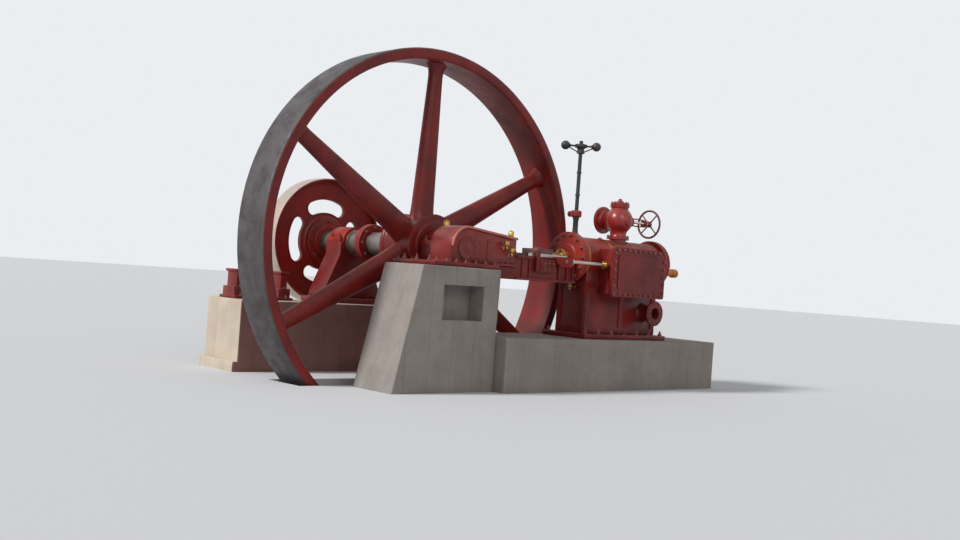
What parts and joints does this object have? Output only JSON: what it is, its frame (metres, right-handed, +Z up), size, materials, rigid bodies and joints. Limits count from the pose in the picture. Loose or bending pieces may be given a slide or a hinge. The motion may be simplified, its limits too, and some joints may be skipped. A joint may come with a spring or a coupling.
{
  "type": "stationary steam engine",
  "caption": "Horizontal steam engine on concrete foundations, with a heavy spoked flywheel, a belt pulley, a fly-ball governor and a globe throttle valve.",
  "frame": {"origin": "foot of the crank pedestal at the lowest ground level, under the shaft axis and on the cylinder's centreline", "axes": "+X from the crank towards the cylinder, +Y along the shaft towards the flywheel and the pulley, +Z up"},
  "size_m": [6.105, 3.273, 4.3698],
  "materials": {
    "concrete": "rough board-marked concrete, weathered",
    "red_paint": "weathered dark red oil paint on cast iron",
    "bright_red_paint": "brighter red paint",
    "tread_steel": "dull dark grey iron with light rust",
    "machined_steel": "dull machined steel",
    "black_iron": "black painted iron",
    "brass": "tarnished brass"
  },
  "bodies": {
    "engine": {"crank_pedestal": "concrete", "cylinder_foundation": "concrete", "outboard_block": "concrete", "bed_plate": "red_paint", "crank_guard": "red_paint", "guard_edge_bead": "bright_red_paint", "main_bearing_base": "red_paint", "main_bearing_cap": "red_paint", "main_bearing_oiler": "brass", "guard_oil_cups": "brass", "bed_girder": "red_paint", "crosshead": "machined_steel", "slide_bar_near": "red_paint", "slide_bar_far": "red_paint", "girder_bracket": "red_paint", "piston_rod": "machined_steel", "piston_rod_gland": "brass", "front_cylinder_head": "red_paint", "steam_cylinder": "red_paint", "back_cylinder_head": "red_paint", "cylinder_stand": "red_paint", "steam_chest": "red_paint", "steam_chest_cover": "red_paint", "valve_rod": "machined_steel", "exhaust_elbow": "red_paint", "relief_valve": "brass", "tail_gland": "brass", "drain_cocks": "brass", "throttle_valve_body": "bright_red_paint", "throttle_bonnet": "bright_red_paint", "throttle_yoke": "red_paint", "governor_column": "black_iron", "governor_collar": "bright_red_paint", "outboard_sole_plate": "red_paint", "outboard_bearing_base": "red_paint", "outboard_bearing_cap": "red_paint", "block_cradle": "bright_red_paint"},
    "rotor": {"crankshaft": "machined_steel", "flywheel_rim": "tread_steel", "flywheel_center": "red_paint", "belt_pulley": "bright_red_paint", "drive_flange": "bright_red_paint"},
    "throttle_wheel": {"throttle_handwheel": "black_iron"},
    "governor_head": {"governor_sleeve": "black_iron", "governor_balls": "black_iron"}
  },
  "joints": [
    {"name": "flywheel_spin", "type": "hinge", "parent": "engine", "child": "rotor", "pos_m": [0, 0.74, 2.235], "axis": [0, 1, 0], "continuous": true},
    {"name": "throttle_turn", "type": "hinge", "parent": "engine", "child": "throttle_wheel", "pos_m": [3.053, 0, 2.735], "axis": [1, 0, 0], "range_deg": [0, 1350]},
    {"name": "governor_spin", "type": "hinge", "parent": "engine", "child": "governor_head", "pos_m": [1.715, 0, 3.535], "axis": [0, 0, 1], "continuous": true}
  ]
}
